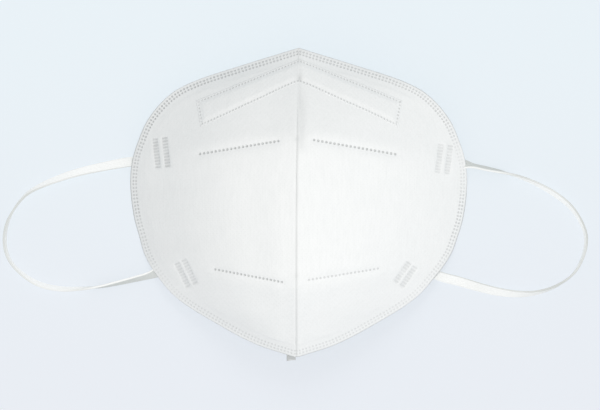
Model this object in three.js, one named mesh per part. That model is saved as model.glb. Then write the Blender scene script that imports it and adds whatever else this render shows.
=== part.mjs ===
// A disposable vertical-fold respirator, opened up and resting on its rim with its front up.
//
// Millimetres. +Z is up, out of the front of the mask. +Y runs to the nose and +X to the
// wearer's left. The origin is on the table, under the middle of the mask's own box.
//
// The front is one height field over the table: at every y a section falls from the front
// crease to the rim. Panels, seam, nose strip and the ends of the ear loops all follow it.

import * as THREE from 'three';

// ---- Driving dimensions -------------------------------------------------------------------

const PANEL_WALL = 1.4; // puffy laminated cloth
const HEM_WALL = 1.0; // the same cloth pressed thin along its welded rim
const PIECE_GAP = 0.3; // clearance between neighbouring pieces

const PINCH = 0.35; // share of a section's fall that is straight, so the crease stays sharp
const ROUND = 2.2; // power of the rest of the fall, which rounds the cheek
const FOLD_SWEEP = 14; // how far the two cross folds sweep towards the middle at the rim
const FOLD_MIDDLE = -3; // the y that they sweep towards
const DRIFT = 1.3; // the crease, and the whole chin, sit this far to the wearer's right

const SEAM_WIDTH = 5.6; // seam allowance turned to the wearer's right behind the crease
const SEAM_WALL = 1.2;
const SEAM_START = 73.8; // where it starts under the nose
const SEAM_END = { crease: -77.0, free: -78.5 }; // its two corners, past the rim at the chin

const STRIP_WALL = 1.0;
const STRIP_TOP = { middle: 72, slope: -0.404, reach: 49.5 }; // upper edge: y = middle + slope |x|
const STRIP_BOTTOM = { middle: 62.5, slope: -0.457, reach: 47.5 };

const BAND_WIDTH = 5;
const BAND_THICK = 1.2;
const BAND_BEVEL = 0.3;
const BAND_CLEARANCE = 0.8; // from the inner face of a panel, where the band is welded on
const FLOOR_CLEARANCE = 0.02;

const ROWS_PER_STRETCH = 3; // rows of facets between two rows of the RIM table
const BAND_STEPS = 80;
const SEAM_ROWS = 40;
const STRIP_COLUMNS = 28;
const STRIP_ROWS = 3;
const PANEL_SHARES = [0, 0.1, 0.24, 0.38, 0.52, 0.66, 0.79, 0.9, 1]; // crease to rim

// Half outline of the rim from nose to chin: x to the side, y, height z of the rim above the
// table, and the y on the front crease from which the facets to this point fan out.
const RIM = [
  { at: 'nose', x: 0, y: 78.5, z: 20, crease: 78.5 },
  { at: 'nose wing', x: 29.3, y: 69.5, z: 16.5, crease: 70.3 },
  { at: 'under the eye', x: 50.7, y: 62.5, z: 13.5, crease: 61.3 },
  { at: 'shoulder', x: 63.5, y: 56, z: 11, crease: 53.8 },
  { at: 'cheekbone', x: 74.9, y: 43.9, z: 7.8, crease: 46.8 },
  { at: 'above the upper band', x: 81.2, y: 30.3, z: 5.2, crease: 39.8 },
  { at: 'upper band', x: 83.9, y: 20.3, z: 3.5, crease: 33.8 },
  { at: 'widest', x: 84.6, y: 8.8, z: 0, crease: 14.8 },
  { at: 'cheek', x: 82.8, y: -6.2, z: 0, crease: -9.2 },
  { at: 'lower cheek', x: 80, y: -16.2, z: 0, crease: -26.2 },
  { at: 'above the lower band', x: 76.9, y: -25.2, z: 1.6, crease: -40.2 },
  { at: 'lower band', x: 70.5, y: -35.2, z: 4.3, crease: -47.2 },
  { at: 'jaw', x: 58.7, y: -47.9, z: 6.9, crease: -53.7 },
  { at: 'under the jaw', x: 37.9, y: -60.9, z: 10, crease: -62.2 },
  { at: 'chin wing', x: 19.3, y: -70.4, z: 13.2, crease: -69.7 },
  { at: 'chin', x: 0, y: -76.7, z: 16.5, crease: -76.7 },
];

// The front crease seen from the side.
const CREASE = [
  { at: 'nose', y: 78.5, z: 20 },
  { at: 'bridge', y: 60.8, z: 36.5 },
  { at: 'nose slope', y: 44.8, z: 50 },
  { at: 'upper fold', y: 33.8, z: 57 },
  { at: 'upper lip', y: 15.8, z: 60 },
  { at: 'mouth', y: -7.2, z: 60.5 },
  { at: 'lower lip', y: -27.2, z: 59 },
  { at: 'lower fold', y: -40.2, z: 55.5 },
  { at: 'chin slope', y: -51.2, z: 45.5 },
  { at: 'under the chin', y: -65.2, z: 30 },
  { at: 'chin', y: -76.7, z: 16.5 },
];

// Routes of the elastic bands, from weld to weld. Rows with no roll lie welded against the
// inside of a panel. The others lie on the table: roll 0 is flat, 90 is on edge, and more
// leans back over. The left band starts at its lower weld and the right one at its upper
// weld, so that both run round their loops the same way.
const RIGHT_BAND = [
  { x: -63.5, y: 24.6 },
  { x: -70, y: 24.1 },
  { x: -76.5, y: 23.2 },
  { x: -82.6, y: 22 },
  { x: -87.5, y: 21.1, roll: 6 },
  { x: -96, y: 19.7, roll: 14 },
  { x: -109.7, y: 16.9, roll: 38 },
  { x: -119.7, y: 13.8, roll: 48 },
  { x: -129.8, y: 9.6, roll: 66 },
  { x: -136.8, y: 5.2, roll: 78 },
  { x: -143.3, y: -1.7, roll: 87 },
  { x: -146.6, y: -10.2, roll: 92 },
  { x: -147.6, y: -19.3, roll: 97 },
  { x: -145.6, y: -27.8, roll: 103 },
  { x: -139.8, y: -34.8, roll: 110 },
  { x: -130.5, y: -40.2, roll: 116 },
  { x: -119.7, y: -42.3, roll: 113 },
  { x: -109.7, y: -42.2, roll: 101 },
  { x: -99.7, y: -41.2, roll: 84 },
  { x: -89.6, y: -39.1, roll: 64 },
  { x: -82, y: -37.3, roll: 46 },
  { x: -75.6, y: -35.7, roll: 20 },
  { x: -71.2, y: -34.5 },
  { x: -65, y: -32.9 },
  { x: -58, y: -31.3 },
  { x: -51.5, y: -29.9 },
];

const LEFT_BAND = [
  { x: 48.5, y: -30.5 },
  { x: 55, y: -32.3 },
  { x: 62, y: -34.1 },
  { x: 68, y: -35.4 },
  { x: 72.4, y: -36.5, roll: 8 },
  { x: 80, y: -38.4, roll: 12 },
  { x: 91, y: -41.6, roll: 24 },
  { x: 101, y: -43.9, roll: 40 },
  { x: 111, y: -44.7, roll: 58 },
  { x: 121, y: -43.3, roll: 74 },
  { x: 130, y: -39.6, roll: 84 },
  { x: 137.6, y: -33.6, roll: 90 },
  { x: 142, y: -25, roll: 95 },
  { x: 143.1, y: -16.5, roll: 100 },
  { x: 141.2, y: -9, roll: 106 },
  { x: 136, y: -1.8, roll: 112 },
  { x: 128.6, y: 4.8, roll: 116 },
  { x: 119, y: 10.6, roll: 112 },
  { x: 110, y: 14.2, roll: 100 },
  { x: 101, y: 16.4, roll: 80 },
  { x: 94, y: 17.8, roll: 56 },
  { x: 87.2, y: 19.8, roll: 12 },
  { x: 82.6, y: 20.7 },
  { x: 78, y: 21.5 },
  { x: 71, y: 22.6 },
  { x: 64.5, y: 23.5 },
];

// ---- Curves -------------------------------------------------------------------------------

/** Smooth curve through rows[i][value] at rows[i][key]: cubic, with central slopes. */
function curveThrough(rows, key, value) {
  const knots = rows.map((row) => row[key]);
  const values = rows.map((row) => row[value]);
  const last = rows.length - 1;
  const slopes = values.map((_, i) => {
    const before = Math.max(i - 1, 0);
    const after = Math.min(i + 1, last);
    return (values[after] - values[before]) / (knots[after] - knots[before]);
  });
  const rising = knots[last] > knots[0] ? 1 : -1;
  return (at) => {
    let i = 0;
    while (i < last - 1 && rising * (at - knots[i + 1]) > 0) i += 1;
    const step = knots[i + 1] - knots[i];
    const t = THREE.MathUtils.clamp((at - knots[i]) / step, 0, 1);
    const s = 1 - t;
    return s * s * (1 + 2 * t) * values[i] + t * t * (1 + 2 * s) * values[i + 1]
      + step * t * s * (s * slopes[i] - t * slopes[i + 1]);
  };
}

const NOSE = RIM[0];
const CHIN = RIM[RIM.length - 1];
const halfWidth = curveThrough(RIM, 'y', 'x');
const rimCurve = curveThrough(RIM, 'y', 'z');
const creaseStart = curveThrough(RIM, 'y', 'crease');
const creaseHeight = curveThrough(CREASE, 'y', 'z');

const rimHeight = (y) => Math.max(rimCurve(y), 0);
const creaseX = (y) => -DRIFT * THREE.MathUtils.smoothstep(NOSE.y - y, 0, 45);
const chinShift = (y) => -DRIFT * THREE.MathUtils.smoothstep(-y, 10, 45);

/** Distance from the crease to the rim at y, on the side +1 or -1. */
function reach(side, y) {
  return halfWidth(y) + side * (chinShift(y) - creaseX(y));
}

// ---- The front as a height field ----------------------------------------------------------

/** Height of the outer face over (x, y). */
function frontHeight(x, y) {
  const across = x - creaseX(y);
  const share = Math.abs(across) / Math.max(reach(Math.sign(across), y), 0.5);
  const towards = y > FOLD_MIDDLE ? NOSE.y - FOLD_MIDDLE : CHIN.y - FOLD_MIDDLE;
  const sweep = Math.sign(towards) * Math.sin(Math.PI * (y - FOLD_MIDDLE) / towards);
  const top = creaseHeight(y + FOLD_SWEEP * share * sweep);
  const fall = PINCH * share + (1 - PINCH) * share ** ROUND;
  return rimHeight(y) + (top - rimHeight(y)) * (1 - fall);
}

/** Outward normal of one panel, taken slightly inside it so that every edge has one. */
function frontNormal(side, x, y) {
  const inset = 0.02;
  const step = 0.2;
  const px = x + (side * NOSE.y / 2 - x) * inset;
  const py = y * (1 - inset);
  const slopeX = (frontHeight(px + step, py) - frontHeight(px - step, py)) / (2 * step);
  const slopeY = (frontHeight(px, py + step) - frontHeight(px, py - step)) / (2 * step);
  return new THREE.Vector3(-slopeX, -slopeY, 1).normalize();
}

/** Point of a panel, a depth under its outer face along the normal. */
function underFront(side, x, y, depth) {
  const normal = frontNormal(side, x, y);
  return new THREE.Vector3(x, y, frontHeight(x, y)).addScaledVector(normal, -depth);
}

// ---- Closed solids ------------------------------------------------------------------------

/** Collects triangles between points, sharing the points that coincide. */
class Shell {
  constructor() {
    this.points = [];
    this.known = new Map();
    this.triangles = [];
  }

  index(point) {
    const key = [point.x, point.y, point.z].map((value) => Math.round(value * 1e4)).join();
    if (!this.known.has(key)) {
      this.known.set(key, this.points.length);
      this.points.push(point);
    }
    return this.known.get(key);
  }

  triangle(a, b, c) {
    const corners = [this.index(a), this.index(b), this.index(c)];
    if (new Set(corners).size === 3) this.triangles.push(corners);
  }

  quad(a, b, c, d) {
    this.triangle(a, b, c);
    this.triangle(a, c, d);
  }

  volume() {
    const six = this.triangles.map(([a, b, c]) => {
      const [p, q, r] = [this.points[a], this.points[b], this.points[c]];
      return p.dot(new THREE.Vector3().crossVectors(q, r));
    });
    return six.reduce((sum, value) => sum + value, 0) / 6;
  }

  geometry() {
    if (this.volume() < 0) this.triangles.forEach((corners) => corners.reverse());
    const geometry = new THREE.BufferGeometry();
    const positions = this.points.flatMap((point) => [point.x, point.y, point.z]);
    geometry.setAttribute('position', new THREE.Float32BufferAttribute(positions, 3));
    geometry.setIndex(this.triangles.flat());
    geometry.computeVertexNormals();
    return geometry;
  }
}

/** Closes two matching grids of points, an outer and an inner skin, into one solid. */
function skinSolid(outer, inner) {
  const shell = new Shell();
  const rows = outer.length - 1;
  const columns = outer[0].length - 1;
  for (let i = 0; i < rows; i += 1) {
    for (let j = 0; j < columns; j += 1) {
      shell.quad(outer[i][j], outer[i + 1][j], outer[i + 1][j + 1], outer[i][j + 1]);
      shell.quad(inner[i][j], inner[i][j + 1], inner[i + 1][j + 1], inner[i + 1][j]);
    }
    shell.quad(outer[i][0], inner[i][0], inner[i + 1][0], outer[i + 1][0]);
    shell.quad(outer[i + 1][columns], inner[i + 1][columns], inner[i][columns], outer[i][columns]);
  }
  for (let j = 0; j < columns; j += 1) {
    shell.quad(outer[0][j], outer[0][j + 1], inner[0][j + 1], inner[0][j]);
    shell.quad(inner[rows][j], inner[rows][j + 1], outer[rows][j + 1], outer[rows][j]);
  }
  return shell.geometry();
}

/** Joins a row of equal rings into a tube with flat ends. */
function ringSolid(rings) {
  const shell = new Shell();
  const sides = rings[0].length;
  for (let i = 0; i < rings.length - 1; i += 1) {
    for (let j = 0; j < sides; j += 1) {
      const next = (j + 1) % sides;
      shell.quad(rings[i][j], rings[i][next], rings[i + 1][next], rings[i + 1][j]);
    }
  }
  const last = rings[rings.length - 1];
  for (let j = 1; j < sides - 1; j += 1) {
    shell.triangle(rings[0][0], rings[0][j + 1], rings[0][j]);
    shell.triangle(last[0], last[j], last[j + 1]);
  }
  return shell.geometry();
}

// ---- Pieces -------------------------------------------------------------------------------

/** The y of every row of facets along the rim, each stretch of the table cut evenly. */
function rimRows() {
  const rows = [NOSE.y];
  for (let i = 1; i < RIM.length; i += 1) {
    for (let k = 1; k <= ROWS_PER_STRETCH; k += 1) {
      rows.push(THREE.MathUtils.lerp(RIM[i - 1].y, RIM[i].y, k / ROWS_PER_STRETCH));
    }
  }
  return rows;
}

/** Places one row's points in plan, from the crease to the rim. */
function planRow(side, rimY) {
  const creaseY = creaseStart(rimY);
  const halfGap = PIECE_GAP / 2;
  const fromX = creaseX(creaseY) + side * halfGap;
  const toX = creaseX(rimY) + side * Math.max(reach(side, rimY), halfGap);
  return PANEL_SHARES.map((share) => new THREE.Vector2(
    THREE.MathUtils.lerp(fromX, toX, share),
    THREE.MathUtils.lerp(creaseY, rimY, share),
  ));
}

/** Inner face under one outer point. The cut faces stay upright and the rim's lies flat. */
function innerPoint(side, plan, column) {
  const outer = new THREE.Vector3(plan.x, plan.y, frontHeight(plan.x, plan.y));
  const normal = frontNormal(side, plan.x, plan.y);
  if (column === 0) return outer.setZ(outer.z - PANEL_WALL / normal.z);
  if (column < PANEL_SHARES.length - 1) return outer.addScaledVector(normal, -PANEL_WALL);
  const flat = new THREE.Vector3(normal.x, normal.y, 0);
  return outer.addScaledVector(flat, -HEM_WALL / flat.lengthSq());
}

/** One half of the mask body, cut along the crease and thinned along its rim. */
function panelGeometry(side) {
  const plans = rimRows().map((rimY) => planRow(side, rimY));
  const outer = plans.map((row) => row.map(({ x, y }) => new THREE.Vector3(x, y, frontHeight(x, y))));
  const inner = plans.map((row) => row.map((plan, column) => innerPoint(side, plan, column)));
  [0, plans.length - 1].forEach((end) => {
    const tip = outer[end][0];
    const tucked = new THREE.Vector3(tip.x, tip.y - Math.sign(tip.y) * HEM_WALL, tip.z - HEM_WALL / 2);
    inner[end] = inner[end].map(() => tucked);
  });
  return skinSolid(outer, inner);
}

/** The seam allowance: a strip turned to the right behind the crease, free past the chin. */
function seamGeometry() {
  const straightFrom = CHIN.y + SEAM_WIDTH;
  const endSlope = (creaseHeight(straightFrom + 8) - creaseHeight(straightFrom)) / 8;
  const skin = (depth) => Array.from({ length: SEAM_ROWS + 1 }, (_, i) => (
    [{ out: PIECE_GAP, end: SEAM_END.crease }, { out: SEAM_WIDTH, end: SEAM_END.free }].map(({ out, end }) => {
      const y = THREE.MathUtils.lerp(SEAM_START, end, i / SEAM_ROWS);
      const onPanel = Math.max(y, straightFrom);
      const x = creaseX(y) - out;
      const normal = frontNormal(-1, x, onPanel);
      const height = frontHeight(x, onPanel) + endSlope * (y - onPanel);
      return new THREE.Vector3(x, y, height - depth / normal.z);
    })
  ));
  const depth = PANEL_WALL + PIECE_GAP;
  return skinSolid(skin(depth), skin(depth + SEAM_WALL));
}

/** The chevron strip over the nose clip, bent over the crease. */
function noseStripGeometry() {
  const skin = (lift) => Array.from({ length: STRIP_COLUMNS + 1 }, (_, i) => {
    const share = 2 * i / STRIP_COLUMNS - 1;
    return Array.from({ length: STRIP_ROWS + 1 }, (__, j) => {
      const down = j / STRIP_ROWS;
      const away = share * THREE.MathUtils.lerp(STRIP_TOP.reach, STRIP_BOTTOM.reach, down);
      const yTop = STRIP_TOP.middle + STRIP_TOP.slope * Math.abs(away);
      const yBottom = STRIP_BOTTOM.middle + STRIP_BOTTOM.slope * Math.abs(away);
      const y = THREE.MathUtils.lerp(yTop, yBottom, down);
      const x = creaseX(y) + away;
      if (away !== 0) return underFront(Math.sign(away), x, y, -lift);
      const normal = frontNormal(1, x, y);
      return new THREE.Vector3(x, y, frontHeight(x, y) + lift / normal.z);
    });
  });
  return skinSolid(skin(PIECE_GAP + STRIP_WALL), skin(PIECE_GAP));
}

/** Height of a band's middle that keeps its lower edge just off the table, at a roll in radians. */
function bandRest(roll) {
  const half = Math.abs(Math.sin(roll)) * BAND_WIDTH / 2 + Math.abs(Math.cos(roll)) * BAND_THICK / 2;
  return half + FLOOR_CLEARANCE;
}

/** Middle of the band at one row of its route. */
function bandPoint(row) {
  if (row.roll !== undefined) {
    return new THREE.Vector3(row.x, row.y, bandRest(THREE.MathUtils.degToRad(row.roll)));
  }
  const depth = PANEL_WALL + BAND_CLEARANCE + BAND_THICK / 2;
  const place = underFront(Math.sign(row.x), row.x, row.y, depth);
  return place.setZ(Math.max(place.z, bandRest(0)));
}

/** Level sideways direction across a band that runs along `ahead`, and the one over it. */
function bandAxes(ahead) {
  const level = new THREE.Vector3(-ahead.y, ahead.x, 0).normalize();
  const over = new THREE.Vector3().crossVectors(ahead, level);
  return { level, over };
}

/** Roll of a row: as stated, or square to the panel that the band is welded to. */
function bandRoll(row, ahead) {
  if (row.roll !== undefined) return THREE.MathUtils.degToRad(row.roll);
  const { level, over } = bandAxes(ahead);
  const normal = frontNormal(Math.sign(row.x), row.x, row.y);
  return Math.atan2(-normal.dot(level), normal.dot(over));
}

/** A flat elastic band swept along its route, turning as its rows say. */
function bandGeometry(route) {
  const middles = route.map(bandPoint);
  let run = 0;
  const stations = middles.map((place, i) => {
    if (i > 0) run += place.distanceTo(middles[i - 1]);
    const ahead = middles[Math.min(i + 1, route.length - 1)].clone().sub(middles[Math.max(i - 1, 0)]);
    return { run, x: place.x, y: place.y, z: place.z, roll: bandRoll(route[i], ahead.normalize()) };
  });
  const [x, y, z, roll] = ['x', 'y', 'z', 'roll'].map((value) => curveThrough(stations, 'run', value));
  const place = (at) => new THREE.Vector3(x(at), y(at), z(at));
  const halfWide = BAND_WIDTH / 2;
  const halfThick = BAND_THICK / 2;
  const section = [[1, -1], [1, 1], [-1, 1], [-1, -1]].flatMap(([wide, thick]) => {
    const side = [wide * halfWide, thick * (halfThick - BAND_BEVEL)];
    const face = [wide * (halfWide - BAND_BEVEL), thick * halfThick];
    return wide === thick ? [side, face] : [face, side];
  });
  const rings = Array.from({ length: BAND_STEPS + 1 }, (_, i) => {
    const at = run * i / BAND_STEPS;
    const ahead = place(Math.min(at + 0.5, run)).sub(place(Math.max(at - 0.5, 0))).normalize();
    const { level, over } = bandAxes(ahead);
    const turn = roll(at);
    const middle = place(at);
    middle.setZ(Math.max(middle.z, bandRest(turn)));
    const wide = level.clone().multiplyScalar(Math.cos(turn)).addScaledVector(over, Math.sin(turn));
    const thick = level.clone().multiplyScalar(-Math.sin(turn)).addScaledVector(over, Math.cos(turn));
    return section.map(([w, t]) => middle.clone().addScaledVector(wide, w).addScaledVector(thick, t));
  });
  return ringSolid(rings);
}

// ---- Assembly -----------------------------------------------------------------------------

const CLOTH = new THREE.MeshStandardMaterial({ color: 0xf4f5f6, roughness: 0.9, metalness: 0 });
const SEAM_CLOTH = new THREE.MeshStandardMaterial({ color: 0xe9ebec, roughness: 0.9, metalness: 0 });
const ELASTIC = new THREE.MeshStandardMaterial({ color: 0xeff0f1, roughness: 0.8, metalness: 0 });

const mask = new THREE.Group();

function add(name, geometry, material) {
  const mesh = new THREE.Mesh(geometry, material);
  mesh.name = name;
  mask.add(mesh);
}

add('panel_left', panelGeometry(1), CLOTH);
add('panel_right', panelGeometry(-1), CLOTH);
add('centre_seam', seamGeometry(), SEAM_CLOTH);
add('nose_strip', noseStripGeometry(), CLOTH);
add('ear_loop_left', bandGeometry(LEFT_BAND), ELASTIC);
add('ear_loop_right', bandGeometry(RIGHT_BAND), ELASTIC);

export default mask;
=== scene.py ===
"""A disposable vertical-fold respirator, opened up and resting on its rim, with its front up.

Everything follows one height field: at every y a section falls from the front crease to the rim.
Panels, seam allowance, nose strip and the welded ends of the ear loops are worked out from it as
arrays. Shapes are worked out in millimetres and put into the meshes in metres.
+Z is out of the front, +Y runs to the nose and +X to the wearer's left.
"""

import math

import bpy
import numpy as np
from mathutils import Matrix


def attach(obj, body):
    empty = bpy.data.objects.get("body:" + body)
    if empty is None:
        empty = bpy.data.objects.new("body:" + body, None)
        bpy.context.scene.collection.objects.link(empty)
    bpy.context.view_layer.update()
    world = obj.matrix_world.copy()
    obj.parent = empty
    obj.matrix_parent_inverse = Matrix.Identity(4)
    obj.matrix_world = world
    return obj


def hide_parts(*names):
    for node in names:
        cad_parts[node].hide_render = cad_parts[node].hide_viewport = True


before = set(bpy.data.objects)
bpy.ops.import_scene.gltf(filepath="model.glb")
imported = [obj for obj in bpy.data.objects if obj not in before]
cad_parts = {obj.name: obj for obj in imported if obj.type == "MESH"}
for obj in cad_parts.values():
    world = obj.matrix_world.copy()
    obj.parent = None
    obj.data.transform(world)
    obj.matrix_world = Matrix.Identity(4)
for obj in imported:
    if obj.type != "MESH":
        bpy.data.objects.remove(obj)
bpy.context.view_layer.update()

MM = 0.001  # a millimetre, in metres

# ---- The form ------------------------------------------------------------------------------

PINCH = 0.35  # share of a section's fall that is straight, so the crease stays sharp
ROUND = 2.2  # power of the rest of the fall, which rounds the cheek
FOLD_SWEEP = 14  # how far the two cross folds sweep towards the middle at the rim
FOLD_MIDDLE = -3  # the y that they sweep towards
DRIFT = 1.25  # the crease, and the whole chin, sit this far to the wearer's right
DRIFT_RUN = 104  # the crease gets there this far below the nose
LEAST_REACH = 0.5  # of a section, so that none vanishes at nose or chin
PANEL_WALL = 1.4
HEM_WALL = 1.0  # the wall where it is welded flat

SEAM_WIDTH = 4.8
SEAM_WALL = 1.2
SEAM_CLEARANCE = 0.3  # from the crease, and from the inner face of the panel
SEAM_START = 73.8  # its end by the nose
SEAM_END_AT_CREASE = -77.9  # its cut end by the chin, which slants
SEAM_END_FREE = -78.4
SEAM_RIPPLE = 0.08

STRIP_MIDDLE = 0.3  # x of its point
STRIP_TOP = 71.7  # its row of dots at the middle, falling away to the sides
STRIP_TOP_SLOPE = -0.404
STRIP_TOP_REACH = 50.6
STRIP_BOTTOM = 62.1
STRIP_BOTTOM_SLOPE = -0.457
STRIP_BOTTOM_REACH = 48.3
STRIP_PUFF = 0.5
STRIP_RAISED = 0.1  # its pressed border stands this far off the cloth
STRIP_SUNK = 0.3  # and its underside lies this far inside it

BAND_WIDTH = 5.0
BAND_THICK = 1.2
BAND_CLEARANCE = 0.8
FLOOR_CLEARANCE = 0.02


def table(columns, rows):
    """A short table with named columns, one tuple a row."""
    return np.array(rows, dtype=[(name, float) for name in columns.split()])


# Half outline of the rim from nose to chin, its height over the table, and the y on the crease
# from which the cloth fans out to it.
RIM = table("x y z crease", [
    (0, 78.5, 20, 78.5),
    (29.3, 69.5, 16.5, 70.3),
    (50.7, 62.5, 13.5, 61.3),
    (63.5, 56, 11, 53.8),
    (74.9, 43.9, 7.8, 46.8),
    (81.2, 30.3, 5.2, 39.8),
    (83.9, 20.3, 3.5, 33.8),
    (84.6, 8.8, 0, 14.8),
    (82.8, -6.2, 0, -9.2),
    (80, -16.2, 0, -26.2),
    (76.9, -25.2, 1.6, -40.2),
    (70.5, -35.2, 4.3, -47.2),
    (58.7, -47.9, 6.9, -53.7),
    (37.9, -60.9, 10, -62.2),
    (19.3, -70.4, 13.2, -69.7),
    (0, -76.7, 16.5, -76.7),
])

# The front crease seen from the side.
CREASE = table("y z", [
    (78.5, 20), (60.8, 36.5), (44.8, 50), (33.8, 57), (15.8, 60), (-7.2, 60.5),
    (-27.2, 59), (-40.2, 55.5), (-51.2, 45.5), (-65.2, 30), (-76.7, 16.5),
])

# Routes of the elastic bands from weld to weld. Where roll is WELDED the band lies against the
# inside of a panel. Elsewhere it lies on the table: roll 0 is flat, 90 is on edge. The face that
# shows is white, or greyed by painted shade where grey is 1, and so is its upper edge where line is
# 1.
WELDED = 999.0
RIGHT_BAND = table("x y roll grey line", [
    (-63.5, 24.6, WELDED, 0.2, 0.6), (-70, 24.1, WELDED, 0.2, 0.6),
    (-76.5, 23.2, WELDED, 0.2, 0.6), (-82.6, 22, WELDED, 0.2, 0.6),
    (-87.5, 21.1, 8, 0.15, 0.6), (-96, 19.5, 24, 0.1, 0.55), (-109.7, 16.5, 40, 0, 0.5),
    (-119.7, 13.4, 51, 0, 0.4), (-129.8, 9.3, 66, 0, 0.6), (-136.8, 5.1, 79, 0.1, 0.75),
    (-142.75, -2.05, 88, 0.2, 0.7), (-146.6, -10.2, 99, 0.4, 0.7),
    (-147.6, -19.3, 102, 0.3, 0.65), (-145.3, -27.6, 101, 0.15, 0.55),
    (-139.4, -34.4, 107, 0, 0.5), (-130.3, -40, 116, 0, 0.3), (-119.7, -42.3, 114, 0, 0.25),
    (-109.7, -42.2, 103, 0, 0.45), (-99.7, -41.2, 84, 0.9, 0.1), (-89.6, -39.1, 69, 0.82, 0.1),
    (-82, -37.3, 60, 0.8, 0.1), (-75.6, -35.7, 48, 0.75, 0.1), (-71.2, -34.5, WELDED, 0.75, 0.1),
    (-65, -32.9, WELDED, 0.75, 0.1), (-58, -31.3, WELDED, 0.75, 0.1),
    (-51.5, -29.9, WELDED, 0.75, 0.1),
])
LEFT_BAND = table("x y roll grey line", [
    (48.5, -30.5, WELDED, 0.1, 0.6), (55, -32.3, WELDED, 0.1, 0.6), (62, -34.1, WELDED, 0.1, 0.6),
    (68, -35.4, WELDED, 0.1, 0.6), (72.4, -36.5, 8, 0.1, 0.6), (80, -38.4, 12, 0.1, 0.65),
    (91, -41.6, 24, 0.15, 0.75), (101, -43.9, 38, 0.05, 0.55), (111, -44.9, 55, 0.05, 0.6),
    (121, -43.9, 73, 0.15, 0.75), (130.4, -40.3, 84, 0.35, 0.85), (138.5, -34.1, 91, 0.35, 0.65),
    (143.1, -25.2, 98, 0.35, 0.6), (144.3, -16.6, 102, 0.2, 0.75), (141.8, -8.8, 106, 0.05, 0.75),
    (136.7, -1.3, 112, 0.05, 0.65), (128.9, 5.1, 117, 0, 0.5), (119, 10.6, 108, 0, 0.55),
    (110, 14.2, 98, 0, 0.7), (101, 16.6, 79, 0.9, 0.2), (94, 18.1, 69, 0.82, 0.2),
    (87.2, 19.6, 65, 0.8, 0.2), (82.6, 20.8, WELDED, 0.8, 0.1), (78, 21.6, WELDED, 0.8, 0.1),
    (71, 22.6, WELDED, 0.8, 0.1), (64.5, 23.5, WELDED, 0.8, 0.1),
])

# ---- Welds, in plan ------------------------------------------------------------------------

HEM = 5.5  # width of the pressed hem
HEM_ROWS = (1.5, 2.95)  # two rows of weld dots, in from the edge
HEM_PITCH = 1.83
HEM_DOT = 0.5  # radius
DOT_START, DOT_FULL = 1.25, 0.55  # a dot starts and is full at these shares of its radius
CUT_EDGE_SHADE = (0.8, 0.25)  # the painted shade along the cut edge starts this far in from it, and is full this far in
# How hard the hem's dots are pressed and how much painted shade lies along its cut edge, on the
# wearer's left and right side, from nose to chin.
HEM_LOOK = table("y left_dots left_edge right_dots right_edge", [
    (78, 0.72, 0.2, 0.68, 0.1), (66, 0.72, 0.2, 0.9, 0.1), (58, 0.58, 0.3, 0.95, 0.1),
    (42, 0.68, 0.3, 0.95, 0.35), (34, 0.55, 0.2, 0.84, 0.45), (26, 0.25, 0.0, 0.65, 0.45),
    (17, 0.37, 0.0, 0.64, 0.45), (8, 0.45, 0.25, 0.68, 0.5), (-1, 0.76, 0.5, 0.76, 0.5),
    (-10, 0.76, 0.5, 0.55, 0.45), (-19, 0.65, 0.5, 0.47, 0.35), (-27, 0.5, 0.45, 0.45, 0.15),
    (-35, 0.38, 0.65, 0.22, 0.0), (-42, 0.3, 0.15, 0.2, 0.0), (-50, 0.38, 0.15, 0.4, 0.1),
    (-77, 0.42, 0.3, 0.45, 0.15),
])
STRIP_PITCH = 1.66
STRIP_DOT = 0.42
STRIP_MARGIN = 0.9  # cloth of the strip outside its row of dots
BAR_HALF_WIDTH = 1.35
BAR_STRIPE = 1.55  # pitch of its hatching

# Embossed rows of dots along the two cross folds, from the side towards the crease. Firm is how
# hard they are pressed.
LINES = {
    1: table("x0 y0 x1 y1 dots radius firm", [
        (49.2, 25.0, 6.7, 32.3, 21, 0.56, 1.0), (40.5, -31.8, 4.2, -37.6, 19, 0.5, 0.65)]),
    -1: table("x0 y0 x1 y1 dots radius firm", [
        (-50.2, 25.1, -9.2, 31.8, 21, 0.56, 1.0), (-42.5, -32.1, -7.5, -38.7, 19, 0.53, 0.95)]),
}

# Pairs of hatched bars that weld the ends of the bands: their middle line and their spacing.
BARS = {
    1: table("x0 y0 x1 y1 spacing firm", [
        (73.75, 30.15, 71.9, 15.9, 4.85, 0.9), (56.8, -30.1, 49.8, -40.2, 3.84, 1.0)]),
    -1: table("x0 y0 x1 y1 spacing firm", [
        (-69.6, 33.4, -67.9, 18.5, 4.9, 1.5), (-59.3, -28.3, -53.4, -40.6, 3.9, 1.0)]),
}


# ---- Curves and the height field -----------------------------------------------------------

def curve_through(knots, values):
    """Cubic through the values at the knots. The slope at a knot is that of the line from the
    knot before it to the knot after it."""
    order = np.argsort(knots)
    knots, values = knots[order], values[order]
    number = np.arange(len(knots))
    before, after = np.maximum(number - 1, 0), np.minimum(number + 1, len(knots) - 1)
    slopes = (values[after] - values[before]) / (knots[after] - knots[before])

    def curve(at):
        i = np.clip(np.searchsorted(knots, at) - 1, 0, len(knots) - 2)
        step = knots[i + 1] - knots[i]
        t = np.clip((at - knots[i]) / step, 0, 1)
        s = 1 - t
        ends = s * s * (1 + 2 * t) * values[i] + t * t * (1 + 2 * s) * values[i + 1]
        return ends + step * t * s * (s * slopes[i] - t * slopes[i + 1])

    return curve


half_width = curve_through(RIM["y"], RIM["x"])
rim_curve = curve_through(RIM["y"], RIM["z"])
fan_start = curve_through(RIM["y"], RIM["crease"])
crease_height = curve_through(CREASE["y"], CREASE["z"])
NOSE_Y, CHIN_Y = RIM["y"][0], RIM["y"][-1]


def smooth_step(value, low, high):
    """0 below low, 1 above high, and 3t^2 - 2t^3 between."""
    t = np.clip((value - low) / (high - low), 0, 1)
    return t * t * (3 - 2 * t)


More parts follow.
